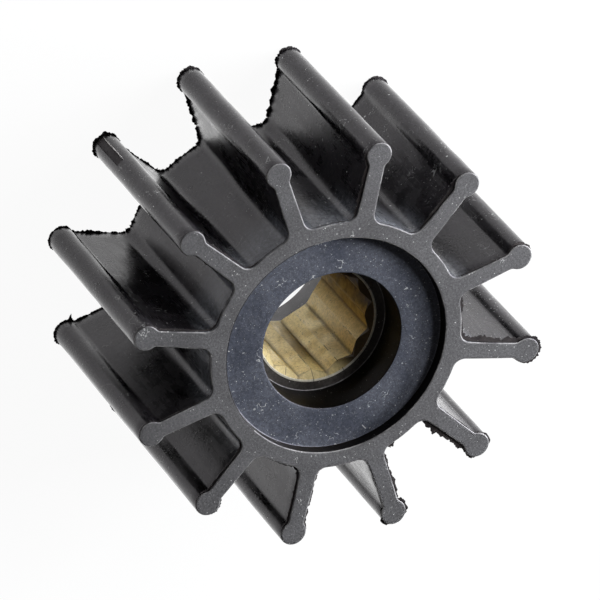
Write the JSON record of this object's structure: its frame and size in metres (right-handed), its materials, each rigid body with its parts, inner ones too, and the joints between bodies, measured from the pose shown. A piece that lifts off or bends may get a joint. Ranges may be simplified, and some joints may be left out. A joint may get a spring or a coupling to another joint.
{
  "type": "rubber pump impeller",
  "caption": "Flexible rubber pump impeller: straight vanes with beaded tips on a hub moulded round a splined brass drive insert. It turns in a pump and carries water.",
  "frame": {"origin": "on the impeller's axis, in the plane of the end face that it stands on", "axes": "+Z along the axis, towards the end face that the picture shows; +X along one vane"},
  "size_m": [0.0572, 0.0572, 0.0318],
  "materials": {
    "rubber": "matte moulded rubber, dusty on the end face",
    "brass": "dull, porous, tarnished brass"
  },
  "bodies": {
    "root": {"impeller_body": "rubber", "spline_insert": "brass"}
  },
  "joints": []
}
